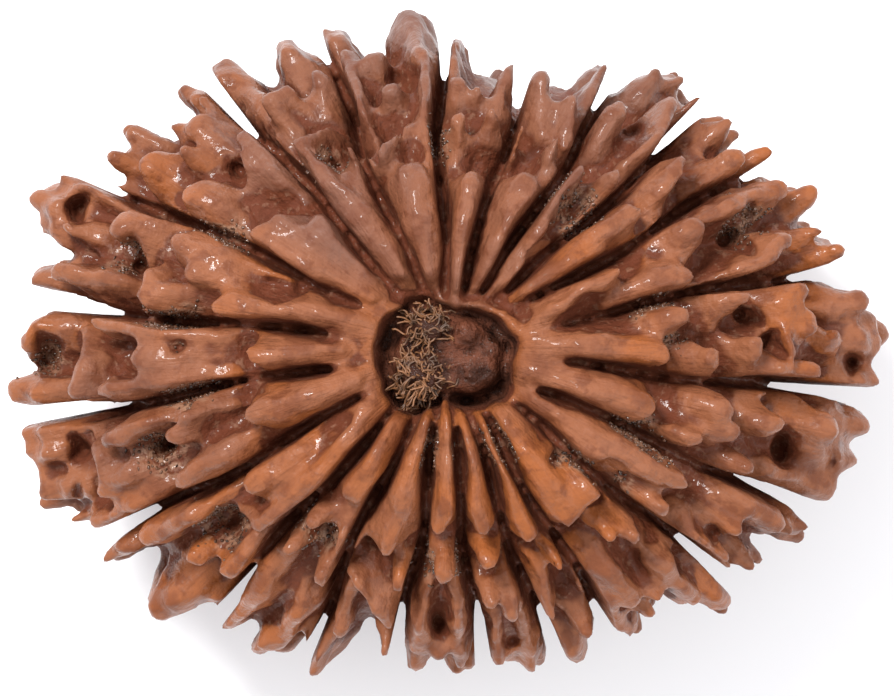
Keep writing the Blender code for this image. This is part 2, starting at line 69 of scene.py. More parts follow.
# Levels are shares of the way from the stone's centre to the ellipsoid of its three half sizes.
CREST_LEVEL = 1.0
ROOT_LEVEL = 0.9
RIM_LEVEL = 0.87
CORE_LEVEL = 0.82
GROOVE_LEVEL = 0.73
FOOT_LEVEL = 0.72
CREST_SPREAD = 0.75
FOOT_SPREAD = 2.1
FLUTE_WIDTH = 2.6
LEAST_RISE = 0.015
POLE_RUN = 15
ROUND_RUN = 12
SHOULDER_DEPTH = 0.9
TIP_RADIUS = 0.6
TIP_REACH = 0.8
BOSS_RISE = 0.05
BOSS_REACH = 0.1
WAIST_REACH = 0.9
WAIST_RISE = 3.4
WAIST_SPLIT = 0.8
WAIST_GAP = 0.35
GROOVE_FLOOR = 0.26
GROOVE_WALL = 1.4
BANK_SLOPE = 0.2
START_LIFT = 0.3
KNOB_FLOOR = 0.46
KNOB_WALL = 0.4
KNOB_REACH = (0.5, 0.78)
GROOVE_UNEVENNESS = 0.22
COLLAR_REACH = (0.155, 0.225)
GROOVE_START = (0.06, 0.2)
GROOVE_TAPER = 0.12
GROOVE_WOBBLE = 0.018
USUAL_GAP = 0.5
MOUTH_REACH = (0.72, 0.86)
WIDE_MOUTHS = {192.8: 0.75, 351: 0.75, 171.6: 0.65, 217: 0.6}
UNDERSIDE_SEED = 21

# Crests above this level are worn down to this share of their rise over it, away from the waist.
WORN_LEVEL = 0.975
WORN_SHARE = 0.4
WORN_HEIGHT = (0.3, 0.6)

# A pit's mouth lies this far below the crests. Its wall runs between two shares of its radius, and is uneven.
PIT_MOUTH_DEPTH = 0.04
PIT_WALL = (0.25, 1.35)
PIT_UNEVENNESS = 0.2

# The broken hollow where the stalk sat: its corners as (bearing, radius in mm) round its middle, and the
# mounds on its floor as (x, y, radius, rise) in mm from its middle. The first two are matted pith.
HOLLOW_CENTRE = (0.0, -0.25)
HOLLOW_DEPTH = 2.3
HOLLOW_RIM = [
    (11, 3.2), (28, 2.8), (80, 1.95), (126, 2.9), (172, 3.1), (204, 3.0),
    (228, 3.3), (250, 2.7), (267, 2.0), (320, 3.2), (340, 3.1), (352, 2.85),
]
HOLLOW_MOUNDS = [(-1.35, -1.15, 1.4, 1.5), (-0.75, 1.2, 0.9, 1.5), (0.95, 1.05, 0.8, 1.4)]
PITH_MOUNDS = 2
FLOOR_RISE = 1.0
FLOOR_EDGE = (0.62, 0.84)
HOLLOW_WALL = (0.85, 1.02)

# What roughens the skin, as (size in mm, place in the noise, weight), and for the furrows their sharpness too.
# Creases run along the ridges: their noise is drawn out by the first two numbers, and drifts with the level.
BROAD_WAVES = (1.7, 3.1, 1.3)
FINE_WAVES = (0.7, 8.4, 0.7)
CREASE_STRETCH = (3.2, 1.1, 0.2)
CREASES = (1.0, 5.3, 0.9, 4)
DENTS = (2.1, 1.7, 0.7, 6)
WRINKLES = (0.9, 4.2, 0.5, 4)
GRAINS = (0.45, 2.9, 1.2)
RIM_NOISE = (0.9, 5.1, 0.09)
FLOOR_LUMPS = (0.75, 6.6, 0.35)
FLOOR_GRAINS = (0.3, 2.2, 0.3)

# Each lobe: the bearing of the groove on its clockwise side, its ridges, and its pits. A pit is
# (bearing, reach, radius, depth), with radius and depth in millimetres.
LOBES = [
    (351, [[(2, .18, .7), (1.5, .33, .95), (-2, .51, .75)], [(7, .42, .5), (10, .56, .7)],
     [(-7, .6, .6), (-2.5, .62, .6)], [(-6, .67, .55), (.5, .72, .5)], [(7, .6, .6), (13, .7, .8)],
     [(-7, .72, .6), (-5, .85, .85)], [(5, .71, .5), (5, .85, .85)], [(12, .72, .6), (12, .84, .75)],
     [(-4, .8, .85), (4, .81, 1), (11, .82, .85)], [(11, .79, .8), (4, .78, .9), (-5, .79, .85)],
     [(-7, .88, .6), (-6, .99, .85)], [(-5, .88, .5), (3, .9, .5)], [(3, .9, .75), (1, 1, 1)],
     [(9, .88, .75), (8, .97, .85)], [(-5, .97, .75), (4, .99, .85)]],
     [(1, .735, .5, 2), (8, .7, .45, 1.6), (-2.5, .92, .4, 1.2), (4.5, .86, .4, .8)]),
    (16, [[(20, .22, .5), (27, .3, .55), (31.5, .47, .6)], [(22, .4, .6), (23, .6, .95)],
     [(32, .56, .6), (32, .69, 1.05)], [(18.5, .66, .45), (19.5, .76, .6), (23, .85, .7)],
     [(34, .66, .45), (33.5, .78, .6), (32.5, .91, .75)], [(18, .86, .6), (18.3, .95, .7)],
     [(28.5, .88, .75), (29, .96, .85)], [(22, .86, .5), (22.5, .93, .55)]],
     [(26.5, .74, .55, 1.8), (31, .8, .35, 1)]),
    (37, [[(44, .24, .45), (43.5, .4, .95), (44.5, .6, .95)], [(42, .61, .55), (44, .7, .8), (47, .8, .55)],
     [(40.5, .77, .6), (41, .9, .7)], [(45.5, .83, .5), (46.5, .95, .5)], [(39, .88, .45), (39, .95, .6)]],
     []),
    (50.5, [[(54, .25, .3), (59, .38, .5), (61.5, .5, .6), (61.5, .63, .6)], [(56.5, .6, .45), (54, .66, .5)],
     [(53.5, .68, .35), (52.8, .8, .55), (55.5, .91, .55)], [(60, .7, .5), (61.5, .84, .8)],
     [(58.5, .86, .6), (60, .97, .75)], [(52.3, .88, .5), (52.3, .95, .5)],
     [(56, .92, .35), (56.5, .98, .6)]], [(57.5, .79, .35, 1.2)]),
    (64.3, [[(67, .22, .45), (69, .36, .8), (70.2, .56, .9)], [(66.7, .55, .3), (68, .69, .35)],
     [(76, .6, .3), (76, .71, .35)], [(71, .68, .35), (75, .86, .5)], [(66.5, .68, .45), (69, .83, .55)],
     [(65.8, .74, .45), (67, .93, .5)]], []),
    (78, [[(84, .2, .6), (84, .36, .75), (84, .54, .8)], [(88, .56, .35), (88, .71, .6)],
     [(82, .64, .35), (81.5, .74, .45)], [(82, .68, .45), (80, .88, .55)], [(88, .7, .45), (88.5, .82, .45)],
     [(89, .76, .45), (89.5, .95, .5)], [(83, .74, .35), (84.5, .8, .45)]], []),
    (91.3, [[(99, .24, .45), (99, .4, 1.1), (98.5, .56, 1.1)],
     [(94, .5, .5), (94.3, .64, .5), (93.7, .78, .45), (93.5, .88, .5), (95, 1.03, .95)],
     [(95, .7, .5), (99.5, .66, .3), (104, .62, .3)], [(97, .76, .35), (99.5, .81, .45)],
     [(98, .86, .5), (101.5, .9, .5)], [(104.5, .62, .3), (105, .78, .45), (104.8, .93, .45)],
     [(106, .84, .45), (106.3, 1.01, .6)]], [(98.5, .84, .4, 1)]),
    (107.8, [[(115, .26, .45), (115.5, .45, .85), (118, .58, .75), (119.3, .72, .35)],
     [(110.3, .47, .35), (109.8, .65, .5)], [(111.5, .71, .35), (117, .72, .35)],
     [(111, .76, .45), (110, .9, .5)], [(113.5, .76, .45), (115, .88, .5)],
     [(112.5, .85, .5), (111.5, 1.01, .8)], [(119, .74, .5), (118.5, .87, .6)],
     [(119.8, .8, .6), (121.3, 1.01, .75)]], [(115, .62, .4, 1.2)]),
    (123.4, [[(130, .3, .6), (129.5, .5, 1)], [(134, .3, .75), (135, .56, .85)],
     [(138, .24, .6), (141, .4, 1), (141.5, .57, .95)],
     [(126.8, .57, .6), (127, .68, .85), (126.2, .81, .75)],
     [(140, .6, .6), (141, .7, 1.05), (141.5, .77, 1)], [(133, .64, .55), (130, .71, .5), (127.5, .77, .5)],
     [(131, .76, .75), (130, .91, .95)], [(127, .82, .6), (126.8, .94, .55)],
     [(134, .78, .5), (135.5, .86, .45)], [(140, .8, .75), (140.5, .91, .95)],
     [(127.8, .9, .55), (127.5, 1, .65)], [(132.5, .86, .35), (132.5, .93, .35)],
     [(138.5, .9, .5), (138, .98, .5)], [(142.5, .88, .5), (142.5, .97, .5)]], [(131.5, .74, .4, 1.2)]),
    (147.3, [[(158, .22, .6), (160, .34, .85), (165, .45, .8), (166, .55, .75)],
     [(152, .5, .75), (153.5, .6, 1.1), (152.5, .71, .8)], [(158, .5, .6), (158, .64, .85)],
     [(165, .58, .75), (166.5, .72, .8)], [(158, .69, .5), (163, .73, .45)],
     [(154, .74, .75), (153.5, .85, 1.15)], [(149.7, .84, .5), (149.5, .97, .7)],
     [(156.5, .88, .45), (157, .95, .5)], [(165, .76, .6), (165.5, .93, .75)],
     [(163, .87, .5), (168, .98, .75)], [(150.5, .98, .5), (150, 1.03, .45)],
     [(155, .97, .6), (154, 1.05, .75)], [(159, .9, .6), (158, 1.01, .7)]],
     [(158.5, .77, .6, 2.2), (153.5, .935, .5, 2), (151, .4, .5, 1)]),
    (171.6, [[(180, .24, .55), (182, .38, .75), (182.5, .46, .75)],
     [(176.8, .5, .6), (176, .65, .85), (174.8, .82, .6)], [(189, .5, .6), (189, .65, .75), (189.3, .81, .6)],
     [(182.5, .52, .85), (183, .725, 1)], [(176, .83, .35), (183, .83, .45), (188.8, .87, .5)],
     [(176, .86, .6), (176.5, .96, .75)], [(182, .94, .6), (179, .97, .6)],
     [(187.5, .86, .6), (187.8, 1.01, .8)]], [(179.5, .61, .35, .9), (180, .905, .6, 1.6)]),
    (192.8, [[(204, .22, .6), (205.5, .34, 1), (205, .51, .85)], [(199, .54, .6), (199, .65, .6)],
     [(211, .5, .6), (212, .62, .75), (213.3, .75, .55)],
     [(197.5, .62, .5), (197.5, .72, .6), (200, .84, .7)], [(206, .77, .6), (207, .83, .8), (209, .92, .6)],
     [(212.8, .74, .5), (213.5, .86, .5), (213, .97, .5)], [(202, .62, .5), (203, .69, .55)],
     [(195.2, .86, .5), (195.5, 1.01, .6)], [(197, .94, .5), (198, 1.01, .6)],
     [(204.5, .92, .55), (205.5, 1.03, .75)], [(210.5, .93, .5), (211.5, 1.01, .6)],
     [(197, .99, .5), (206, 1.02, .5)], [(196.5, .85, .45), (203, .86, .45), (207, .9, .45)]],
     [(204, .72, .5, 1.9), (208.5, .69, .4, 1.3), (200, .89, .45, 1.6), (207.5, .94, .35, 1.2)]),
    (217, [[(222, .24, .5), (230, .36, .7), (232.3, .5, .75), (232.3, .66, .7)],
     [(223.5, .38, .6), (223, .52, .85), (223, .63, .75)],
     [(221.5, .64, .5), (220.5, .78, .55), (220, .91, .55)], [(226, .66, .5), (231, .7, .5)],
     [(232, .68, .55), (233, .78, .75), (233.5, .86, .6)], [(228.5, .8, .5), (228, .88, .5)],
     [(226.5, .86, .85), (228.5, .96, 1.2), (230, 1.05, 1)], [(219, .9, .5), (219, 1.02, .6)]],
     [(226, .73, .5, 1.5), (224.5, .8, .35, 1)]),
    (236.3, [[(241, .26, .5), (243.5, .4, .95), (244, .52, 1)], [(242, .52, .6), (239.8, .63, .5)],
     [(246.5, .5, .6), (248, .62, .5), (248.8, .7, .35)], [(239, .62, .35), (239.3, .73, .45)],
     [(239, .72, .6), (240, .86, .8), (238.5, 1.01, .7)], [(246, .64, .5), (247.8, .77, .6)],
     [(245, .78, .6), (247, .88, .75), (246, 1, .55)], [(242.5, .88, .5), (244.5, 1.03, .5)]], []),
    (250.3, [[(258.5, .2, .55), (258, .36, .85), (258, .5, .95), (256.5, .64, .75)],
     [(260.5, .62, .5), (261, .74, .5)],
     [(252, .69, .35), (254, .74, .45), (257.5, .79, .45), (261, .87, .45)],
     [(253.3, .74, .5), (253.8, .91, .6)], [(252.4, .88, .5), (252.6, 1.04, .6)],
     [(260, .86, .45), (261, .94, .45)]], [(257, .83, .4, 1.3)]),
    (263.6, [[(269.5, .22, .5), (270.5, .36, .55), (270, .48, .75), (268, .57, .6)],
     [(269, .58, .75), (269.3, .71, .75)], [(266.5, .7, .45), (266, .84, .5), (266, .98, .6)],
     [(271.3, .7, .5), (271.6, .84, .5), (271.8, .98, .55)], [(269, .88, .35), (269, .94, .35)]],
     [(268.8, .84, .35, 1.2)]),
    (274.2, [[(279.5, .24, .35), (278, .36, .55), (278.5, .48, .75), (279.5, .58, .6)],
     [(278, .58, .45), (278.5, .68, .5)], [(277, .7, .45), (277.2, .8, .5)],
     [(281, .7, .45), (280.5, .84, .5)], [(277.5, .8, .55), (277.2, .97, .6)],
     [(281.8, .78, .5), (281.6, 1.01, .6)]], [(279.5, .9, .3, .8)]),
    (284.2, [[(290, .24, .45), (288.5, .4, .8), (288.5, .61, .85)], [(291, .62, .45), (291, .73, .5)],
     [(287.5, .67, .5), (286.5, .87, .6)], [(287.8, .87, .6), (287.8, 1, .75)],
     [(290.5, .87, .5), (290.6, .94, .5)]], []),
    (293.3, [[(303, .24, .6), (300, .38, 1), (300, .5, 1.2), (299, .61, .75)],
     [(306, .42, .6), (307, .57, .75)], [(303.5, .58, .45), (303.5, .69, .5)],
     [(307.5, .6, .5), (307, .73, .55)], [(299.5, .67, .7), (299, .78, .85), (299, .89, .7)],
     [(307, .74, .5), (307, .85, .7), (306.5, .96, .55)],
     [(295.4, .74, .5), (295.6, .85, .55), (295.6, .97, .6)], [(300.5, .86, .45), (300, .94, .5)],
     [(303, .84, .35), (302.5, .91, .35)], [(308.5, .9, .6), (308.8, 1.01, .8)]], [(309, .42, .4, 1)]),
    (312, [[(321, .26, .5), (321.5, .4, .75), (321, .55, .85), (323, .69, .6)],
     [(317, .34, .35), (316, .5, .5)], [(316.5, .58, .55), (315.3, .71, .6)],
     [(317.5, .72, .45), (314.8, .8, .5), (315, .91, .55)], [(320, .74, .45), (320, .88, .5)],
     [(324, .76, .55), (325.3, .85, .85), (325, .93, .75)], [(316.5, .9, .5), (316.5, .98, .6)],
     [(326.3, .9, .6), (326.3, .99, .6)], [(313.8, .84, .35), (313.8, .94, .45)]], [(317.3, .82, .4, 1.1)]),
    (329.3, [[(340, .2, .6), (338.5, .34, .95), (339, .51, .95)], [(333.5, .52, .5), (334, .65, .75)],
     [(339.5, .58, .85), (338, .72, .75)], [(343.5, .57, .75), (343.5, .68, .75)],
     [(332, .7, .5), (332.5, .79, .55)], [(342.5, .7, .6), (343, .81, .8)],
     [(333.5, .82, .75), (334, .99, .95)], [(345.3, .82, .75), (346, 1, 1)],
     [(339.5, .88, .6), (339.5, 1, .85)], [(334, .92, .75), (344.5, .93, .85)]],
     [(338.5, .83, .55, 1.8), (338.5, .935, .3, .9), (343, .97, .3, .9)]),
]

# Dry pulp that stayed in the grooves: (bearing, reach, radius in mm).
PULP_SPOTS = [
    (56, .5, 1.6), (148, .6, 1.6), (172.5, .62, 1.8), (192.5, .6, 1.6), (264.5, .3, 1.2),
    (269, .64, 1.5), (293, .3, 1.2), (328.5, .48, 1.4), (9, .48, 1.6), (321, .55, 1.6),
    (206, .72, 1.6), (226, .72, 1.6), (181, .9, 1.5), (30, .76, 1.6), (115, .6, 1.3),
    (242, .6, 1.4), (309, .44, 1.2), (158, .78, 1.5), (91, .62, 1.2),
]

# The lobes with a mauve bloom, partly their own tone and partly painted sheen, as the bearing of their middle and
# how far it spreads each way.
BLOOM_AND_SHEEN_BEARING = 94
BLOOM_AND_SHEEN_SPREAD = 52

# Rounds of averaging that tell small, large and broad relief from the skin round it.
CAVITY_ROUNDS = 24
DEEP_ROUNDS = 160
RELIEF_ROUNDS = 200

# How fine the noise is that curls the fibres and dents the crumbs, and how far it moves a crumb's skin.
CURL_NOISE = 2200.0
CRUMB_NOISE = 9000.0
CRUMB_STRAY = 0.12 * MM
FULL_TURN = 6.283

# The soft lights: (name, share of the key's power, size in metres, place in metres).
SOFTBOXES = [
    ("key", 1.0, 0.11, (-0.16, 0.2, 0.42)),
    ("fill", 0.35, 0.4, (0.3, -0.1, 0.35)),
    ("glint", 0.3, 0.03, (-0.1, 0.14, 0.4)),
]


def length(name, description, default):
    """A size that a user can change, with its default in mm."""
    return FloatProperty(name=name, description=description, default=default * MM, min=0.0, unit="LENGTH")


def amount(name, description, default):
    """A plain number that a user can change."""
    return FloatProperty(name=name, description=description, default=default, min=0.0)


def colour(name, description, default):
    """A linear colour that a user can change."""
    return FloatVectorProperty(
        name=name, description=description, default=default, size=3, min=0.0, max=1.0, subtype="COLOR"
    )


class BeadStoneSettings(bpy.types.PropertyGroup):
    half_length: length("Half length", "Half of the longer way across, to the crests", 18.9)
    half_width: length("Half width", "Half of the shorter way across, to the crests", 14.3)
    half_height: length("Half height", "From the middle to a pole, to the crests", 14.0)
    rest_depth: length("Rest depth", "From the middle down to the surface it rests on", 12.0)
    voxel: length("Skin voxel", "Grain of the fused skin", 0.15)
    triangles: IntProperty(name="Triangles", description="Triangles in the skin", default=190000, min=20000)
    ripple: length("Ripple", "Height of the waves along the ridges", 0.17)


class BeadFinishSettings(bpy.types.PropertyGroup):
    crest: colour("Crest", "Rubbed tops of the ridges", (0.215, 0.076, 0.035))
    # Flank and groove are darker than the crest partly because the skin itself is darker there and partly as
    # painted shade in the grooves and on the ridges' sides.
    flank: colour("Flank", "Sides of the ridges", (0.1, 0.027, 0.0115))
    glow: colour("Glow", "Orange where the oiled crest is thin", (0.25, 0.073, 0.02))
    groove: colour("Groove", "Depths between the ridges", (0.108, 0.0285, 0.013))
    # Painted sheen: the mauve on the upper lobes is partly the skin's own tone and partly a painted sheen of soft
    # light.
    bloom: colour("Bloom", "Mauve bloom on the shaded lobes", (0.12, 0.057, 0.042))
    pulp: colour("Pulp", "Dry pulp left in the grooves", (0.27, 0.145, 0.09))
    crust: colour("Crust", "Crumbs in the grooves", (0.115, 0.05, 0.027))
    scar: colour("Scar", "Bare floor of the stalk hollow", (0.125, 0.04, 0.021))
    pith: colour("Pith", "Curled fibres in the stalk hollow", (0.19, 0.077, 0.028))


class BeadResidueSettings(bpy.types.PropertyGroup):
    fibres: amount("Fibres", "Pith fibres to a square mm", 44.0)
    fibre_length: length("Fibre length", "Longest pith fibre", 0.8)
    fibre_radius: length("Fibre radius", "Radius of a pith fibre", 0.04)
    curl: length("Curl", "How far a fibre strays from straight", 0.8)
    crumbs: amount("Crumbs", "Pulp crumbs to a square mm", 16.0)
    crumb_radius: length("Crumb radius", "Radius of the largest crumb", 0.1)
    seed: IntProperty(name="Seed", description="Draw of the fibres and crumbs", default=7, min=0)


class BeadStageSettings(bpy.types.PropertyGroup):
    camera_distance: length("Camera distance", "From the bead's waist up to the camera", 450)
    view_width: length("View width", "What the picture's width takes in at the waist", 38.4)
    key_power: amount("Key power", "Power of the main softbox, in W", 2.4)
    floor: colour("Floor", "The paper under the bead", (0.93, 0.93, 0.94))


class Stone:
    """The shape of the stone in millimetres, round its own centre."""

    def __init__(self, settings):
        self.half = Vector((settings.half_length, settings.half_width, settings.half_height)) / MM
        ball = bmesh.new()
        bmesh.ops.create_icosphere(ball, subdivisions=2, radius=1.0)
        self.corners = [vertex.co.copy() for vertex in ball.verts]
        ball.free()

    def half_width_at(self, bearing):
        """The half width at a bearing in degrees, seen down the polar axis."""
        turn = math.radians(bearing)
        return math.hypot(self.half.x * math.cos(turn), self.half.y * math.sin(turn))

    def place(self, bearing, reach, level, side):
        """The point at a bearing, reach and level, above the waist for side 1 and below it for side -1."""
        turn = math.radians(bearing)
        rise = math.sqrt(max(level**2 - reach**2, LEAST_RISE)) * side
        share = Vector((reach * math.cos(turn), reach * math.sin(turn), rise))
        return share * self.half

    def add_hull(self, body, balls):
        """Adds to body the convex skin round some balls, each (centre, radius)."""
        hull = bmesh.new()
        for centre, radius in balls:
            for corner in self.corners:
                hull.verts.new(centre + corner * radius)
        found = bmesh.ops.convex_hull(hull, input=hull.verts)
        inside = {item for item in found["geom_interior"] if isinstance(item, bmesh.types.BMVert)}
        bmesh.ops.delete(hull, geom=list(inside), context="VERTS")
        pour(hull, body)

    def add_ridge(self, body, ridge, side):
        """Adds one ridge: it rises from root to tip, and stands on a foot inside the core all its way."""
        last = len(ridge) - 1
        balls = []
        for index, (bearing, reach, radius) in enumerate(ridge):
            if index == last and reach > TIP_REACH:
                radius = max(radius, TIP_RADIUS)
            across = self.half_width_at(bearing)
            crest = ROOT_LEVEL + (CREST_LEVEL - ROOT_LEVEL) * math.sqrt(index / last)
            centre_reach = reach - radius * CREST_SPREAD / across * (1 - reach) * (index == last)
            balls.append(section(self.place(bearing, centre_reach, crest, side), radius))
        for first, second in zip(balls, balls[1:]):
            self.add_hull(body, first + second)

    def add_waist_knobs(self, body, ridge, draw):
        """Carries one outer ridge over the waist as two blunt knobs, one above the other."""
        bearing, reach, radius = ridge[-1]
        split = draw.uniform(-WAIST_SPLIT, WAIST_SPLIT)
        for low, high in ((split + WAIST_GAP, WAIST_RISE), (-WAIST_RISE, split - WAIST_GAP)):
            turn = math.radians(bearing + draw.uniform(-1.2, 1.2))
            girth = radius * draw.uniform(0.95, 1.25)
            crest = reach - draw.uniform(0.0, 0.035)
            balls = []
            for height in (low + 0.5 * girth, high - 0.5 * girth):
                out = crest * math.sqrt(1 - (height / self.half.z)**2)
                top = Vector((self.half.x * out * math.cos(turn), self.half.y * out * math.sin(turn), height))
                balls += section(top, girth)
            self.add_hull(body, balls)

    def groove_offset(self, bearing, reach):
        """Arrays of points' distances in mm from the nearest groove, in terms of the widest groove."""
        nearest = np.full(bearing.shape, np.inf)
        pace = reach * np.hypot(self.half.x * np.sin(bearing), self.half.y * np.cos(bearing))
        for groove, _, _ in LOBES:
            turn = (bearing - math.radians(groove) + math.pi) % (2 * math.pi) - math.pi
            turn += GROOVE_WOBBLE * np.sin(11 * reach + 5 * groove)
            wide = smooth_step(*MOUTH_REACH, reach)
            gap = USUAL_GAP + (WIDE_MOUTHS.get(groove, USUAL_GAP) - USUAL_GAP) * wide
            gap *= 1 + GROOVE_UNEVENNESS * np.sin(23 * reach + 3 * groove)
            nearest = np.minimum(nearest, np.abs(turn) * pace / gap)
        return nearest

    def measure(self, points):
        """Bearings in radians, reaches and levels of an array of points in mm."""
        across = points[:, 0] / self.half.x
        along = points[:, 1] / self.half.y
        reach = np.hypot(across, along)
        return np.arctan2(along, across), reach, np.hypot(reach, points[:, 2] / self.half.z)

    def run(self, points):
        """How far each point lies along its ridge from the upper pole, and round the pole, both near mm."""
        bearing, reach, _ = self.measure(points)
        turned = (bearing - math.radians(LOBES[11][0])) % (2 * math.pi)
        return POLE_RUN * np.arctan2(reach, points[:, 2] / self.half.z), ROUND_RUN * turned

    def add_core(self, body):
        """Adds the plain body of the stone, fluted so that it is lowest along the grooves."""
        core = bmesh.new()
        bmesh.ops.create_uvsphere(core, u_segments=252, v_segments=96, radius=1.0)
        points = np.array([vertex.co * self.half for vertex in core.verts])
        bearing, reach, _ = self.measure(points)
        flute = smooth_step(0.0, FLUTE_WIDTH, self.groove_offset(bearing, reach))
        level = GROOVE_LEVEL + (CORE_LEVEL - GROOVE_LEVEL) * np.maximum(flute, reach < 0.1)
        out = smooth_step(-0.01, 0.05, reach - across_or_along(COLLAR_REACH, bearing))
        level = np.maximum(level, RIM_LEVEL + (GROOVE_LEVEL - RIM_LEVEL) * out)
        level += BOSS_RISE * np.exp(-(reach / BOSS_REACH)**2) * (points[:, 2] < 0)
        for vertex, point, share in zip(core.verts, points, level):
            vertex.co = Vector(point * share)
        pour(core, body)

    def wear_crests(self, points):
        """Rubs the crests flat on top, towards both poles."""
        _, _, level = self.measure(points)
        share = smooth_step(*WORN_HEIGHT, np.abs(points[:, 2]) / self.half.z)
        worn = np.maximum(level - WORN_LEVEL, 0) * (1 - WORN_SHARE) * share
        points *= (1 - worn / level)[:, None]

    def rumple(self, points, normals, height):
        """Wears the crests, and moves the points along their normals by waves, furrows and grains."""
        _, _, level = self.measure(points)
        along, round_pole = self.run(points)
        length_run, round_run, drift = CREASE_STRETCH
        stretched = np.stack([along / length_run, round_pole / round_run, drift * level], axis=1)
        ripple = waves(points, *BROAD_WAVES) + waves(points, *FINE_WAVES)
        ripple -= furrows(stretched, *CREASES) + furrows(points, *DENTS) + furrows(points, *WRINKLES)
        self.wear_crests(points)
        ripple *= smooth_step(0.8, 0.9, level)
        ripple += waves(points, *GRAINS) * (1 - smooth_step(0.86, 0.93, level))
        points += normals * (height * ripple)[:, None]

    def carve_grooves(self, points):
        """Presses the points over a groove down to its floor, out of the rim round each pole."""
        bearing, reach, level = self.measure(points)
        steep = smooth_step(*KNOB_REACH, reach)
        floor = GROOVE_FLOOR + (KNOB_FLOOR - GROOVE_FLOOR) * steep
        run = GROOVE_WALL + (KNOB_WALL - GROOVE_WALL) * steep
        wall = np.maximum(self.groove_offset(bearing, reach) - floor, 0) / run
        cap = CREST_LEVEL - (CREST_LEVEL - GROOVE_LEVEL) * (1 - np.minimum(wall, 1))**4
        cap += BANK_SLOPE * np.maximum(wall - 1, 0)
        cap += START_LIFT * (1 - smooth_step(0, GROOVE_TAPER, reach - across_or_along(GROOVE_START, bearing)))
        points *= np.minimum(1, cap / level)[:, None]

    def carve_pits(self, points):
        """Presses in the pits between the upper side's knobs, inwards by the pole and more downwards from it."""
        for _, _, pits in LOBES:
            for bearing, reach, radius, depth in pits:
                mouth = np.array(self.place(bearing, reach, CREST_LEVEL - PIT_MOUTH_DEPTH, 1))
                inward = -mouth / np.linalg.norm(mouth) * (1 - reach) + np.array([0, 0, -reach])
                inward /= np.linalg.norm(inward)
                offset = points - mouth
                along = offset @ inward
                aside = np.linalg.norm(offset - along[:, None] * inward, axis=1)
                turned = np.arctan2(offset[:, 1], offset[:, 0])
                aside *= 1 + PIT_UNEVENNESS * (np.sin(2 * turned + 9 * reach) + np.sin(3 * turned + bearing))
                floor, brim = PIT_WALL
                push = depth * (1 - smooth_step(floor * radius, brim * radius, aside))
                points += inward * (push * (along < depth + 1))[:, None]

    def from_hollow(self, points, x, y):
        """How far aside each point lies from a place in the hollow."""
        return np.hypot(points[:, 0] - HOLLOW_CENTRE[0] - x, points[:, 1] - HOLLOW_CENTRE[1] - y)

    def hollow_share(self, points):
        """How far out each point lies from the hollow's middle, as a share of the way to its rim."""
        x, y = points[:, 0] - HOLLOW_CENTRE[0], points[:, 1] - HOLLOW_CENTRE[1]
        bearings, radii = zip(*HOLLOW_RIM)
        return np.hypot(x, y) / np.interp(np.degrees(np.arctan2(y, x)), bearings, radii, period=360)

    def carve_hollow(self, points):
        """Sinks the stalk hollow into the upper pole, with mounds of dry pith on its floor."""
        share = self.hollow_share(points)
        near = share < 1.3
        share[near] *= 1 + waves(points[near], *RIM_NOISE)
        rise = np.zeros(len(points))
        for x, y, radius, height in HOLLOW_MOUNDS:
            apart = self.from_hollow(points, x, y) / radius
            rise = np.maximum(rise, height * np.clip(1.5 - 1.5 * apart**3, 0, 1))
        rise = np.maximum(rise, FLOOR_RISE) * (1 - smooth_step(*FLOOR_EDGE, share))
        inside = share < 1
        rise[inside] += waves(points[inside], *FLOOR_LUMPS) + waves(points[inside], *FLOOR_GRAINS)
        points[:, 2] -= (HOLLOW_DEPTH - rise) * (1 - smooth_step(*HOLLOW_WALL, share)) * (points[:, 2] > 0)


def across_or_along(reaches, bearing):
    """A reach given across the stone and along it, for an array of bearings in radians."""
    across, along = reaches
    return across + (along - across) * np.cos(bearing)**2


def pour(part, body):
    """Adds part to body, both bmeshes, and frees it."""
    skin = bpy.data.meshes.new("part")
    part.to_mesh(skin)
    part.free()
    body.from_mesh(skin)
    bpy.data.meshes.remove(skin)


def section(top, radius):
    """The balls that make a ridge's cross-section below a point of its crest: crest, shoulder and foot."""
    inward = top / -top.length
    crest = top + inward * (radius * CREST_SPREAD)
    shoulder = top + inward * (radius * (1 + SHOULDER_DEPTH))
    foot = top * FOOT_LEVEL
    return [(crest, radius * CREST_SPREAD), (shoulder, radius), (foot, radius * FOOT_SPREAD)]


def smooth_step(low, high, values):
    share = np.clip((values - low) / (high - low), 0, 1)
    return share * share * (3 - 2 * share)


def changed_ridge(ridge, draw):
    """The same ridge as it grew on the underside, a little moved, turned and resized."""
    turn = draw.uniform(-1.8, 1.8)
    slide = draw.uniform(-0.03, 0.02)
    stretch = draw.uniform(0.88, 1.15)
    return [(bearing + turn, reach + slide, radius * stretch) for bearing, reach, radius in ridge]


def read_rows(items, name, width, kind):
    """One row of numbers for each item."""
    values = np.empty(len(items) * width, kind)
    items.foreach_get(name, values)
    return values.reshape(-1, width)


def mesh_points(mesh):
    return read_rows(mesh.vertices, "co", 3, float)


def set_mesh_points(mesh, points):
    mesh.vertices.foreach_set("co", points.ravel())
    mesh.update()


def mesh_normals(mesh):
    return read_rows(mesh.vertex_normals, "vector", 3, np.float32).astype(float)


def applied(piece):
    """Makes the piece's evaluated mesh its own mesh, and takes its modifiers away."""
    graph = bpy.context.evaluated_depsgraph_get()
    made = bpy.data.meshes.new_from_object(piece.evaluated_get(graph))
    stale = piece.data
    piece.modifiers.clear()
    piece.data = made
    bpy.data.meshes.remove(stale)
    made.name = piece.name


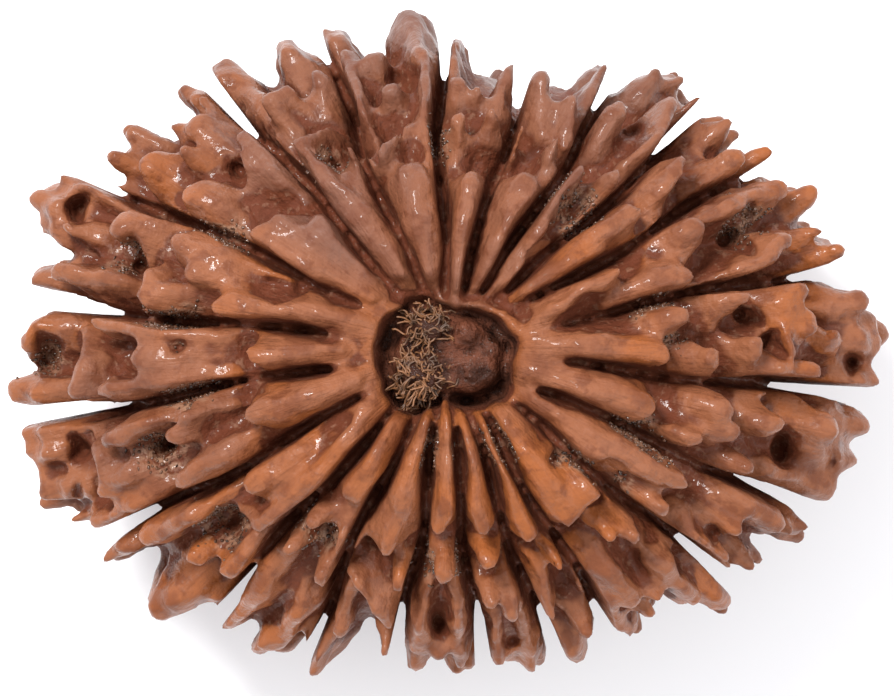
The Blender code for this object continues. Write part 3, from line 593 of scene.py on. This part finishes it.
def fuse(piece, voxel, rounds):
    """Makes the piece's parts one skin, softened this many times."""
    remesh = piece.modifiers.new("one skin", "REMESH")
    remesh.mode = "VOXEL"
    remesh.voxel_size = voxel
    soften = piece.modifiers.new("soften", "SMOOTH")
    soften.factor = 0.5
    soften.iterations = rounds
    applied(piece)


def new_piece(name, mesh):
    piece = bpy.data.objects.new(name, mesh)
    bpy.context.scene.collection.objects.link(piece)
    return piece


def shade_smooth(mesh):
    mesh.polygons.foreach_set("use_smooth", np.ones(len(mesh.polygons), bool))


def spread_mean(values, ends, rounds):
    """Each vertex's value averaged with its neighbours', over and over."""
    count = len(values)
    first = np.concatenate([ends[:, 0], ends[:, 1]])
    second = np.concatenate([ends[:, 1], ends[:, 0]])
    degree = np.bincount(first, minlength=count).clip(1)
    columns = values.reshape(count, -1).T.copy()
    for _ in range(rounds):
        for index, column in enumerate(columns):
            mean = np.bincount(first, weights=column[second], minlength=count) / degree
            columns[index] = 0.5 * (column + mean)
    return columns.T.reshape(values.shape)


def noise_at(points, scale, offset):
    """Smooth noise from -1 to 1 at each point, with features of the given size in mm."""
    shift = Vector((offset, 2.3 * offset, -1.7 * offset))
    return np.array([noise.noise(Vector(point) / scale + shift) for point in points])


def waves(points, size, offset, weight):
    return weight * noise_at(points, size, offset)


def furrows(points, size, offset, weight, sharpness):
    """Narrow furrows along the lines where smooth noise crosses zero."""
    return weight * (1 - np.abs(noise_at(points, size, offset)))**sharpness


def store(mesh, name, values):
    kind = "FLOAT" if values.ndim == 1 else "FLOAT_VECTOR"
    layer = mesh.attributes.new(name, kind, "POINT")
    layer.data.foreach_set("value" if kind == "FLOAT" else "vector", values.astype(np.float32).ravel())


def store_looks(stone, mesh, rest_depth):
    """Gives each vertex what the finish reads: height, lowered on steep and sideways faces as painted shade,
    hollows that it darkens as painted shade, bloom partly as painted sheen, pulp, pith and the run of its ridge.
    """
    raw = mesh_points(mesh) / MM
    points = raw - np.array([0, 0, rest_depth])
    bearing, reach, level = stone.measure(points)
    ends = read_rows(mesh.edges, "vertices", 2, np.int32)
    normals = mesh_normals(mesh)
    # Cavity and deep find the hollows. The finish darkens them partly as the skin's own darker tone and partly as
    # painted shade.
    cavity = ((spread_mean(raw, ends, CAVITY_ROUNDS) - raw) * normals).sum(axis=1) / 0.16
    deep = ((spread_mean(raw, ends, DEEP_ROUNDS) - raw) * normals).sum(axis=1) / 0.5
    relief = (level - spread_mean(level, ends, RELIEF_ROUNDS)) / 0.07
    crest = np.clip(0.42 + relief + 1.6 * (level - 0.92) + 0.25 * (1 - smooth_step(0.2, 0.35, reach)), 0, 1)
    # Painted shade: faces tilted away from the stone's outward direction and faces turned sideways lose crest, so
    # they get darker colours.
    outward = points / np.array(stone.half)**2
    outward /= np.linalg.norm(outward, axis=1)[:, None]
    steep = 1 - (spread_mean(normals, ends, 3) * outward).sum(axis=1)
    upright = 1 - smooth_step(0.1, 0.5, np.abs(normals[:, 2]))
    crest = np.clip(crest - 0.4 * smooth_step(0.3, 0.85, steep) - 0.25 * upright, 0, 1)
    store(mesh, "crest", crest)
    store(mesh, "cavity", np.clip(cavity, -1, 1))
    store(mesh, "deep", np.clip(deep, -1, 1))
    # Mask of the upper lobes' mauve, which is partly their own tone and partly painted sheen.
    turn = np.abs((np.degrees(bearing) - BLOOM_AND_SHEEN_BEARING + 180) % 360 - 180)
    store(mesh, "bloom", 1 - smooth_step(0.6 * BLOOM_AND_SHEEN_SPREAD, BLOOM_AND_SHEEN_SPREAD, turn))
    pulp = np.zeros(len(points))
    for spot_bearing, spot_reach, radius in PULP_SPOTS:
        spot = np.array(stone.place(spot_bearing, spot_reach, CORE_LEVEL + 0.06, 1))
        pulp = np.maximum(pulp, 1 - smooth_step(0.5 * radius, radius, np.linalg.norm(points - spot, axis=1)))
    pulp *= 1 - smooth_step(0.4, 0.6, crest)
    store(mesh, "pulp", pulp)
    pith = np.zeros(len(points))
    for x, y, radius, _ in HOLLOW_MOUNDS[:PITH_MOUNDS]:
        apart = stone.from_hollow(points, x, y)
        pith = np.maximum(pith, (1 - smooth_step(0.6 * radius, radius, apart)) * (points[:, 2] > 0))
    share = stone.hollow_share(points)
    store(mesh, "pith", pith * (1 - smooth_step(0.62, 0.8, share)))
    store(mesh, "scar", (1 - smooth_step(0.88, 1.0, share)) * (points[:, 2] > 0))
    along, round_pole = stone.run(points)
    store(mesh, "run", np.stack([along, round_pole, 0 * along], axis=1))


def node(tree, kind, values=None, **settings):
    """A new node with its settings, and each named input either linked or set."""
    made = tree.nodes.new(kind)
    for name, value in settings.items():
        setattr(made, name, value)
    for name, value in (values or {}).items():
        socket = made.inputs[name]
        if isinstance(value, bpy.types.NodeSocket):
            tree.links.new(value, socket)
        else:
            socket.default_value = value
    return made


def maths(tree, operation, first, second=0.0, clamp=False):
    return node(tree, "ShaderNodeMath", {0: first, 1: second}, operation=operation, use_clamp=clamp).outputs[0]


def eased(tree, value, low, high, start=0.0, end=1.0):
    made = node(
        tree, "ShaderNodeMapRange",
        {"Value": value, "From Min": low, "From Max": high, "To Min": start, "To Max": end},
        interpolation_type="SMOOTHSTEP",
    )
    return made.outputs[0]


def blend(tree, share, first, second, data_type="RGBA"):
    """A mix of two colours, or of two plain values where data_type is FLOAT."""
    made = node(tree, "ShaderNodeMix", {0: share}, data_type=data_type)
    start = 6 if data_type == "RGBA" else 2
    for index, value in ((start, first), (start + 1, second)):
        if isinstance(value, bpy.types.NodeSocket):
            tree.links.new(value, made.inputs[index])
        else:
            made.inputs[index].default_value = (*value, 1.0) if data_type == "RGBA" else value
    return made.outputs[2 if data_type == "RGBA" else 0]


def attribute(tree, name, output="Fac"):
    return node(tree, "ShaderNodeAttribute", attribute_name=name).outputs[output]


def speckle(tree, where, scale, detail=3.0, roughness=0.55):
    values = {"Vector": where, "Scale": scale, "Detail": detail, "Roughness": roughness}
    return node(tree, "ShaderNodeTexNoise", values).outputs["Fac"]


def bumped(tree, layers):
    """A normal with bumps one on another, each as (height, strength, depth in mm)."""
    normal = None
    for height, strength, depth in layers:
        values = {"Height": height, "Strength": strength, "Distance": depth * MM}
        if normal is not None:
            values["Normal"] = normal
        normal = node(tree, "ShaderNodeBump", values).outputs[0]
    return normal


def new_material(name, **sockets):
    material = bpy.data.materials.new(name)
    material.use_nodes = True
    shader = material.node_tree.nodes["Principled BSDF"]
    for socket, value in sockets.items():
        shader.inputs[socket.replace("_", " ")].default_value = value
    return material, material.node_tree, shader


def shell_material(finish):
    """Oiled shell: rubbed crests, orange where they are thin, dark grooves partly from painted shade, a mauve
    bloom partly painted sheen, and fine pores.
    """
    material, tree, shader = new_material(
        "oiled_shell", Metallic=0.0, IOR=1.45, Specular_IOR_Level=0.12, Coat_Weight=0.17, Coat_Roughness=0.1
    )
    add, cloud, read, ease, mix = (partial(make, tree) for make in (node, speckle, attribute, eased, blend))
    times, plus, minus, larger = (
        partial(maths, tree, operation) for operation in ("MULTIPLY", "ADD", "SUBTRACT", "MAXIMUM")
    )
    where = add("ShaderNodeTexCoord").outputs["Object"]
    mottle = cloud(where, 420.0, 4.0, 0.6)
    patches = cloud(where, 150.0, 3.0, 0.55)
    broad = cloud(where, 70.0, 2.0)
    grain = add("ShaderNodeMapping", {"Vector": read("run", "Vector"), "Scale": (0.5, 2.6, 1.0)})
    streaks = cloud(grain.outputs[0], 1.0, 5.0, 0.65)
    fine = cloud(where, 2600.0, 3.0, 0.6)
    skin = cloud(where, 1100.0, 4.0, 0.55)

    # How high the skin stands over what is round it, from 0 in a groove to 1 on a crest. The colours below darken
    # with it, partly because the skin is darker there and partly as painted shade.
    height = minus(minus(read("crest"), times(read("cavity"), 0.4)), times(read("deep"), 0.4))
    jitter = minus(plus(mottle, streaks), 1.0)
    height = plus(height, times(jitter, 0.5), clamp=True)

    # Painted shade: groove and flank colours go where the skin is low, hollow or steep. This is partly the skin's
    # own darker tone.
    low = mix(ease(height, 0.05, 0.45), finish.groove, finish.flank)
    base = mix(ease(height, 0.4, 0.95), low, finish.crest)
    warmth = times(ease(patches, 0.46, 0.62, 0.0, 0.9), ease(height, 0.35, 0.7))
    warm = mix(warmth, base, finish.glow)
    # Mauve on the upper lobes is partly the skin's tone and partly painted sheen. The random patches of it are
    # dust.
    sheen_bloomed = times(read("bloom"), ease(broad, 0.3, 0.55, 0.3, 0.95))
    dusty = times(ease(broad, 0.54, 0.68), 0.6)
    mauve = mix(times(larger(sheen_bloomed, dusty), ease(height, 0.25, 0.6)), warm, finish.bloom)
    blots = times(ease(mottle, 0.5, 0.66), 0.6)
    stains = larger(blots, times(ease(skin, 0.5, 0.66), 0.6))
    stains = larger(stains, times(ease(streaks, 0.48, 0.7), 0.35))
    stained = mix(stains, mauve, finish.flank)
    crust = ease(height, 0.3, 0.62, 1.0, 0.0)
    flecks = times(crust, ease(fine, 0.54, 0.68, 0.0, 0.35))
    pulp = times(read("pulp"), ease(streaks, 0.38, 0.54))
    dusted = mix(times(pulp, ease(fine, 0.38, 0.58)), mix(flecks, stained, finish.pulp), finish.pulp)
    crumbled = minus(plus(times(mottle, 0.6), times(skin, 0.4)), times(read("pith"), 0.14))
    sooty = [0.3 * part for part in finish.scar]
    scar = mix(ease(crumbled, 0.42, 0.58), sooty, finish.scar)
    tree.links.new(mix(read("scar"), dusted, scar), shader.inputs["Base Color"])

    rough = plus(ease(mottle, 0.3, 0.7, 0.28, 0.5), ease(height, 0.1, 0.5, 0.4, 0.0))
    wet = mix(larger(pulp, flecks), rough, 0.2, data_type="FLOAT")
    tree.links.new(wet, shader.inputs["Roughness"])

    pores = add("ShaderNodeTexVoronoi", {"Vector": where, "Scale": 1300.0}).outputs["Distance"]
    relief = [
        (ease(pores, 0.05, 0.35), 0.3, 0.05),
        (mottle, 0.5, 0.4),
        (streaks, 0.5, 0.2),
        (skin, plus(times(crust, 0.5), 0.5), 0.3),
        (fine, plus(times(read("pulp"), 0.5), 0.5), 0.12),
        (skin, read("scar"), 0.5),
    ]
    gloss = [(mottle, 0.5, 0.4), (skin, 0.35, 0.15), (fine, times(read("scar"), 0.9), 0.3)]
    tree.links.new(bumped(tree, relief), shader.inputs["Normal"])
    tree.links.new(bumped(tree, gloss), shader.inputs["Coat Normal"])
    return material


def residue_material(name, tone, roughness):
    """Dry plant matter: one tone broken up by darker and paler flecks."""
    material, tree, shader = new_material(name, Roughness=roughness)
    where = node(tree, "ShaderNodeTexCoord").outputs["Object"]
    flecks = speckle(tree, where, 1300.0, 3.0)
    dark = [0.25 * part for part in tone]
    tree.links.new(blend(tree, eased(tree, flecks, 0.32, 0.62), dark, tone), shader.inputs["Base Color"])
    tree.links.new(bumped(tree, [(speckle(tree, where, 6000.0), 0.4, 0.02)]), shader.inputs["Normal"])
    return material


def new_tree(name, sockets):
    """A geometry node tree with its named inputs, and what they give."""
    tree = bpy.data.node_groups.new(name, "GeometryNodeTree")
    for label, kind in [("Geometry", "Geometry"), *sockets]:
        tree.interface.new_socket(label, in_out="INPUT", socket_type="NodeSocket" + kind)
    tree.interface.new_socket("Geometry", in_out="OUTPUT", socket_type="NodeSocketGeometry")
    return tree, node(tree, "NodeGroupInput").outputs


def finish_tree(tree, given, geometry):
    whole = node(tree, "GeometryNodeRealizeInstances", {"Geometry": geometry}).outputs[0]
    values = {"Geometry": whole, "Material": given["Material"]}
    painted = node(tree, "GeometryNodeSetMaterial", values).outputs[0]
    node(tree, "NodeGroupOutput", {"Geometry": painted})
    return tree


def drawn(tree, low, high, seed):
    """A random vector for each point."""
    values = {0: low, 1: high, "Seed": seed}
    return node(tree, "FunctionNodeRandomValue", values, data_type="FLOAT_VECTOR").outputs[0]


def strayed(tree, geometry, scale, reach):
    """The geometry with each point moved by smooth noise."""
    where = node(tree, "GeometryNodeInputPosition").outputs[0]
    cloud = node(tree, "ShaderNodeTexNoise", {"Vector": where, "Scale": scale, "Detail": 1.0}).outputs["Color"]
    centred = node(tree, "ShaderNodeVectorMath", {0: cloud, 1: (0.5, 0.5, 0.5)}, operation="SUBTRACT").outputs[0]
    push = node(tree, "ShaderNodeVectorMath", {0: centred, "Scale": reach}, operation="SCALE").outputs[0]
    return node(tree, "GeometryNodeSetPosition", {"Geometry": geometry, "Offset": push}).outputs[0]


def scattered(tree, given, mask, part, turns, sizes):
    """Copies of part on the faces, as dense as the mask says, turned and sized between two vectors each."""
    masked = node(tree, "GeometryNodeInputNamedAttribute", {"Name": mask}, data_type="FLOAT").outputs["Attribute"]
    density = maths(tree, "MULTIPLY", masked, given["Density"])
    values = {"Mesh": given["Geometry"], "Density": density, "Seed": given["Seed"]}
    placed = node(tree, "GeometryNodeInstanceOnPoints", {
        "Points": node(tree, "GeometryNodeDistributePointsOnFaces", values).outputs["Points"],
        "Instance": part,
        "Rotation": drawn(tree, *turns, given["Seed"]),
        "Scale": drawn(tree, *sizes, given["Seed"]),
    }).outputs[0]
    return node(tree, "GeometryNodeRealizeInstances", {"Geometry": placed}).outputs[0]


def fibre_tree():
    """Curled fibres that lie on the masked faces."""
    tree, given = new_tree("curled fibres", [
        ("Density", "Float"), ("Length", "Float"), ("Radius", "Float"), ("Curl", "Float"),
        ("Seed", "Int"), ("Material", "Material"),
    ])
    end = node(tree, "ShaderNodeCombineXYZ", {"Z": given["Length"]}).outputs[0]
    line = node(tree, "GeometryNodeCurvePrimitiveLine", {"End": end}).outputs[0]
    line = node(tree, "GeometryNodeResampleCurve", {"Curve": line, "Count": 14}).outputs[0]
    turns = ((1.45, 0.0, 0.0), (1.8, 0.3, FULL_TURN))
    curves = scattered(tree, given, "pith", line, turns, ((0.45, 0.45, 0.45), (1.0, 1.0, 1.0)))
    curled = strayed(tree, curves, CURL_NOISE, given["Curl"])
    ring = node(tree, "GeometryNodeCurvePrimitiveCircle", {"Resolution": 6, "Radius": given["Radius"]}).outputs[0]
    tubes = node(tree, "GeometryNodeCurveToMesh", {"Curve": curled, "Profile Curve": ring, "Fill Caps": True})
    return finish_tree(tree, given, tubes.outputs[0])


def crumb_tree():
    """Small lumps that sit on the masked faces."""
    tree, given = new_tree("pulp crumbs", [
        ("Density", "Float"), ("Radius", "Float"), ("Seed", "Int"), ("Material", "Material"),
    ])
    lump = node(tree, "GeometryNodeMeshIcoSphere", {"Radius": given["Radius"], "Subdivisions": 2}).outputs[0]
    turns = ((0.0,) * 3, (FULL_TURN,) * 3)
    lumps = scattered(tree, given, "pulp", lump, turns, ((0.3, 0.3, 0.3), (1.0, 1.3, 0.9)))
    return finish_tree(tree, given, strayed(tree, lumps, CRUMB_NOISE, CRUMB_STRAY))


def scatter_piece(name, tree, values):
    """The tree's result on a copy of the stone, as a plain mesh that rides on the bead."""
    piece = new_piece(name, bpy.data.objects[STONE].data.copy())
    modifier = piece.modifiers.new(name, "NODES")
    modifier.node_group = tree
    for item in tree.interface.items_tree:
        if item.item_type == "SOCKET" and item.in_out == "INPUT" and item.name in values:
            modifier[item.identifier] = values[item.name]
    applied(piece)
    shade_smooth(piece.data)
    if not piece.data.polygons:
        raise RuntimeError(f"{name} came out empty")
    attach(piece, BODY)


class BEAD_OT_stone(bpy.types.Operator):
    """Build the fused stone with its grooves, knobs, pits and oiled finish"""

    bl_idname = "bead.stone"
    bl_label = "Build Stone"

    def execute(self, context):
        settings = context.scene.bead_stone
        stone = Stone(settings)
        draw = random.Random(UNDERSIDE_SEED)
        body = bmesh.new()
        stone.add_core(body)
        for _, ridges, _ in LOBES:
            for ridge in ridges:
                stone.add_ridge(body, ridge, 1)
                stone.add_ridge(body, changed_ridge(ridge, draw), -1)
                if ridge[-1][1] > WAIST_REACH:
                    stone.add_waist_knobs(body, ridge, draw)
        mesh = bpy.data.meshes.new(STONE)
        body.to_mesh(mesh)
        body.free()
        piece = new_piece(STONE, mesh)
        voxel = settings.voxel / MM * 1.0
        rest_depth = settings.rest_depth / MM

        fuse(piece, voxel, 4)
        points = mesh_points(piece.data)
        stone.rumple(points, mesh_normals(piece.data), settings.ripple / MM)
        stone.carve_grooves(points)
        stone.carve_pits(points)
        stone.carve_hollow(points)
        set_mesh_points(piece.data, points)
        fuse(piece, voxel, 3)

        points = mesh_points(piece.data)
        points[:, 2] = np.maximum(points[:, 2] + rest_depth, 0)
        set_mesh_points(piece.data, points * MM)
        piece.data.calc_loop_triangles()
        facets = piece.modifiers.new("fewer facets", "DECIMATE")
        facets.ratio = min(1.0, settings.triangles / len(piece.data.loop_triangles))
        applied(piece)
        shade_smooth(piece.data)
        store_looks(stone, piece.data, rest_depth)
        piece.data.materials.clear()
        piece.data.materials.append(shell_material(context.scene.bead_finish))
        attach(piece, BODY)
        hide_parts(NODE)
        return {"FINISHED"}


class BEAD_OT_pith(bpy.types.Operator):
    """Lay the curled pith fibres in the stalk hollow"""

    bl_idname = "bead.pith"
    bl_label = "Lay Pith"

    def execute(self, context):
        settings = context.scene.bead_residue
        material = residue_material("dry_pith", context.scene.bead_finish.pith, 0.5)
        scatter_piece("pith_fibres", fibre_tree(), {
            "Density": settings.fibres / MM**2,
            "Length": settings.fibre_length,
            "Radius": settings.fibre_radius,
            "Curl": settings.curl,
            "Seed": settings.seed,
            "Material": material,
        })
        return {"FINISHED"}


class BEAD_OT_pulp(bpy.types.Operator):
    """Scatter the crumbs of dry pulp in the grooves"""

    bl_idname = "bead.pulp"
    bl_label = "Scatter Pulp"

    def execute(self, context):
        settings = context.scene.bead_residue
        material = residue_material("dry_pulp", context.scene.bead_finish.crust, 0.18)
        scatter_piece("pulp_crumbs", crumb_tree(), {
            "Density": settings.crumbs / MM**2,
            "Radius": settings.crumb_radius,
            "Seed": settings.seed + 1,
            "Material": material,
        })
        return {"FINISHED"}


def add_softbox(name, power, size, place, target):
    lamp = bpy.data.lights.new(name, "AREA")
    lamp.energy = power
    lamp.size = size
    holder = bpy.data.objects.new(name, lamp)
    holder.location = place
    holder.rotation_euler = (Vector(target) - Vector(place)).to_track_quat("-Z", "Y").to_euler()
    bpy.context.scene.collection.objects.link(holder)


class BEAD_OT_stage(bpy.types.Operator):
    """Set up the pale floor, the soft light and the camera over the stalk hollow"""

    bl_idname = "bead.stage"
    bl_label = "Set Stage"

    def execute(self, context):
        settings = context.scene.bead_stage
        waist = context.scene.bead_stone.rest_depth
        bpy.ops.mesh.primitive_plane_add(size=4.0, location=(0, 0, 0))
        floor = context.active_object
        floor.name = "paper_floor"
        material, _, _ = new_material("white_paper", Roughness=0.9, Base_Color=(*settings.floor, 1.0))
        floor.data.materials.append(material)

        camera = bpy.data.objects.new("camera", bpy.data.cameras.new("camera"))
        camera.location = (0, 0, waist + settings.camera_distance)
        camera.data.lens = camera.data.sensor_width * settings.camera_distance / settings.view_width
        camera.data.clip_start = 0.01
        context.scene.collection.objects.link(camera)
        context.scene.camera = camera

        for name, share, size, place in SOFTBOXES:
            add_softbox(name, share * settings.key_power, size, place, (0, 0, waist))
        world = bpy.data.worlds.new("white_room")
        world.use_nodes = True
        sky = world.node_tree.nodes["Background"]
        sky.inputs["Color"].default_value = (0.96, 0.97, 1.0, 1.0)
        sky.inputs["Strength"].default_value = 1.05
        context.scene.world = world
        context.scene.view_settings.view_transform = "Standard"
        return {"FINISHED"}


class BEAD_PT_panel(bpy.types.Panel):
    """Lists the bead's builders and their settings"""

    bl_label = "Rudraksha Bead"
    bl_idname = "BEAD_PT_panel"
    bl_space_type = "VIEW_3D"
    bl_region_type = "UI"
    bl_category = "Bead"

    def draw(self, context):
        scene = context.scene
        for group, operator in (
            (scene.bead_stone, "bead.stone"),
            (scene.bead_finish, None),
            (scene.bead_residue, "bead.pith"),
            (None, "bead.pulp"),
            (scene.bead_stage, "bead.stage"),
        ):
            box = self.layout.box()
            if group is not None:
                for name in type(group).__annotations__:
                    box.prop(group, name)
            if operator:
                box.operator(operator)


GROUPS = {
    "bead_stone": BeadStoneSettings,
    "bead_finish": BeadFinishSettings,
    "bead_residue": BeadResidueSettings,
    "bead_stage": BeadStageSettings,
}
CLASSES = (*GROUPS.values(), BEAD_OT_stone, BEAD_OT_pith, BEAD_OT_pulp, BEAD_OT_stage, BEAD_PT_panel)


def register():
    for item in CLASSES:
        bpy.utils.register_class(item)
    for name, group in GROUPS.items():
        setattr(bpy.types.Scene, name, PointerProperty(type=group))


def unregister():
    for name in GROUPS:
        delattr(bpy.types.Scene, name)
    for item in reversed(CLASSES):
        bpy.utils.unregister_class(item)


def main():
    register()
    bpy.ops.bead.stage()
    bpy.ops.bead.stone()
    bpy.ops.bead.pith()
    bpy.ops.bead.pulp()


if __name__ == "__main__":
    main()
